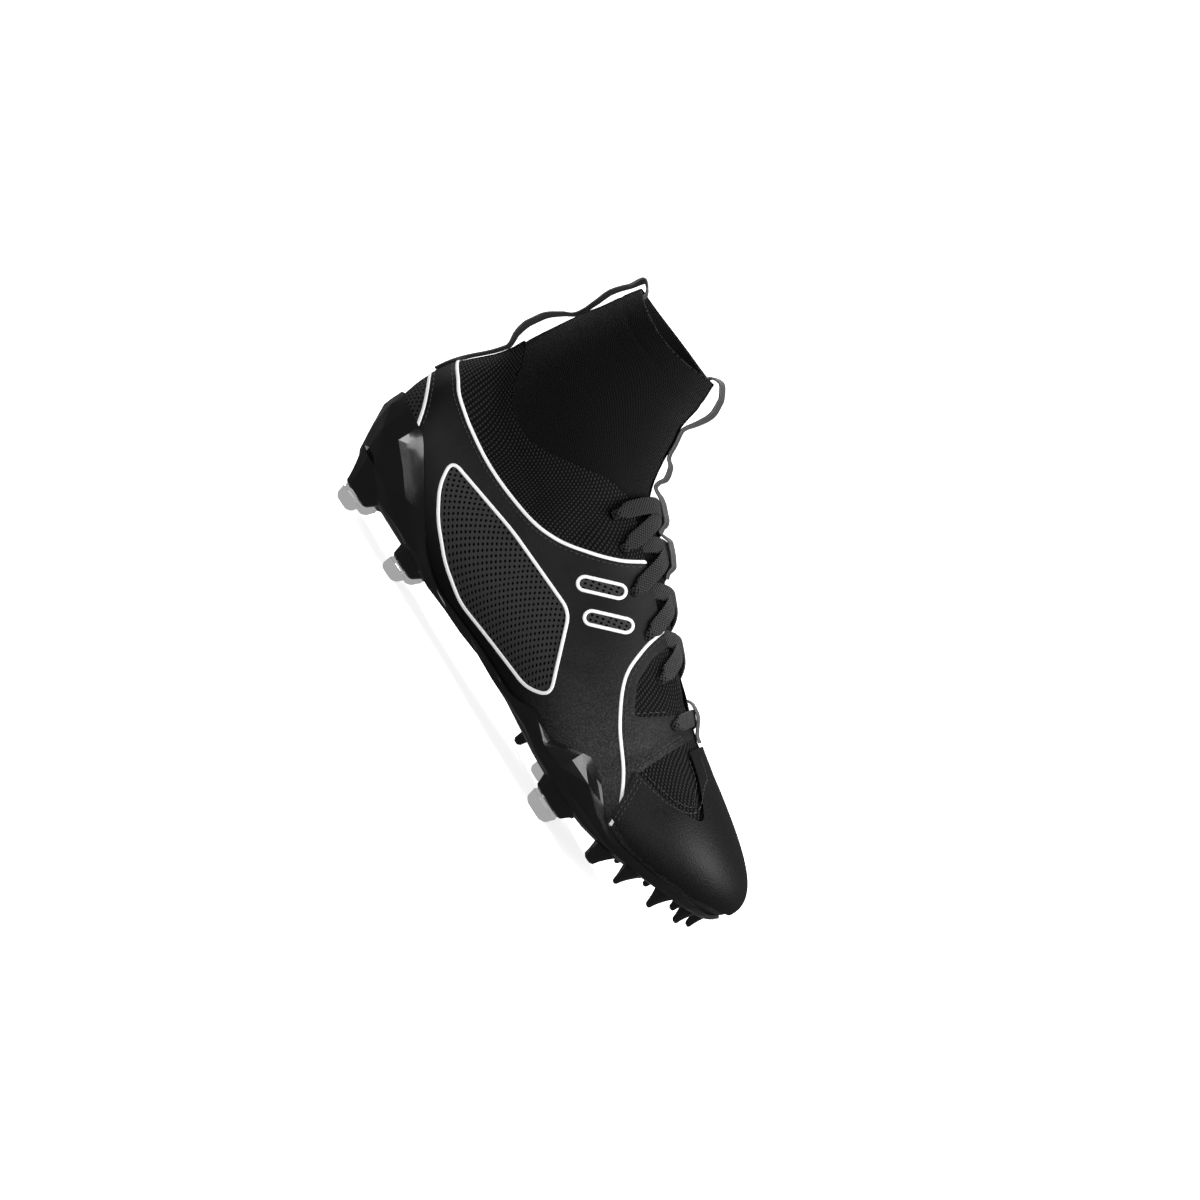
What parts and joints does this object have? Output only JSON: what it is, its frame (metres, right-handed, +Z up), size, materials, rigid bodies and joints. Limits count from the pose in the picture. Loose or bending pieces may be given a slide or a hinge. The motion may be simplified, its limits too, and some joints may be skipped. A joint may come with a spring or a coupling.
{
  "type": "american football cleat",
  "caption": "High-top american football cleat for the right foot: hollow low-cut upper with a knit ankle sock, moulded studded plate, flat laces and pull ribbons.",
  "frame": {"origin": "on the ground under the studs, below the middle of the shoe's length and width", "axes": "+X towards the toe, +Y towards the inner (medial) side, +Z up"},
  "size_m": [0.2997, 0.0993, 0.1837],
  "materials": {
    "knit": "black ribbed knit of the ankle sock and tongue",
    "smooth_upper": "black smooth synthetic leather with mesh and perforated panels",
    "grained_toe": "black grained synthetic leather of the toe overlay",
    "moulded_plate": "glossy black moulded plate",
    "bright_tip": "bright chromed stud tips",
    "woven_lace": "black flat woven lace",
    "ribbon": "black grosgrain ribbon with a soft sheen",
    "footbed": "black cloth over a thin foam footbed"
  },
  "bodies": {
    "root": {"upper": "smooth_upper", "ankle_sock": "knit", "tongue": "knit", "insole": "footbed", "outsole_plate": "moulded_plate", "toe_overlay": "grained_toe", "throat_tab": "ribbon", "heel_pull_ribbon": "ribbon", "front_pull_ribbon": "ribbon", "lace_bar": "woven_lace", "lace_crossing_1": "woven_lace", "lace_crossing_2": "woven_lace", "lace_crossing_3": "woven_lace", "lace_crossing_4": "woven_lace", "tip_heel_rear_outer": "bright_tip", "tip_heel_rear_inner": "bright_tip", "tip_heel_front_outer": "bright_tip", "tip_heel_front_inner": "bright_tip", "tip_ball_outer": "bright_tip", "tip_ball_inner": "bright_tip"}
  },
  "joints": []
}
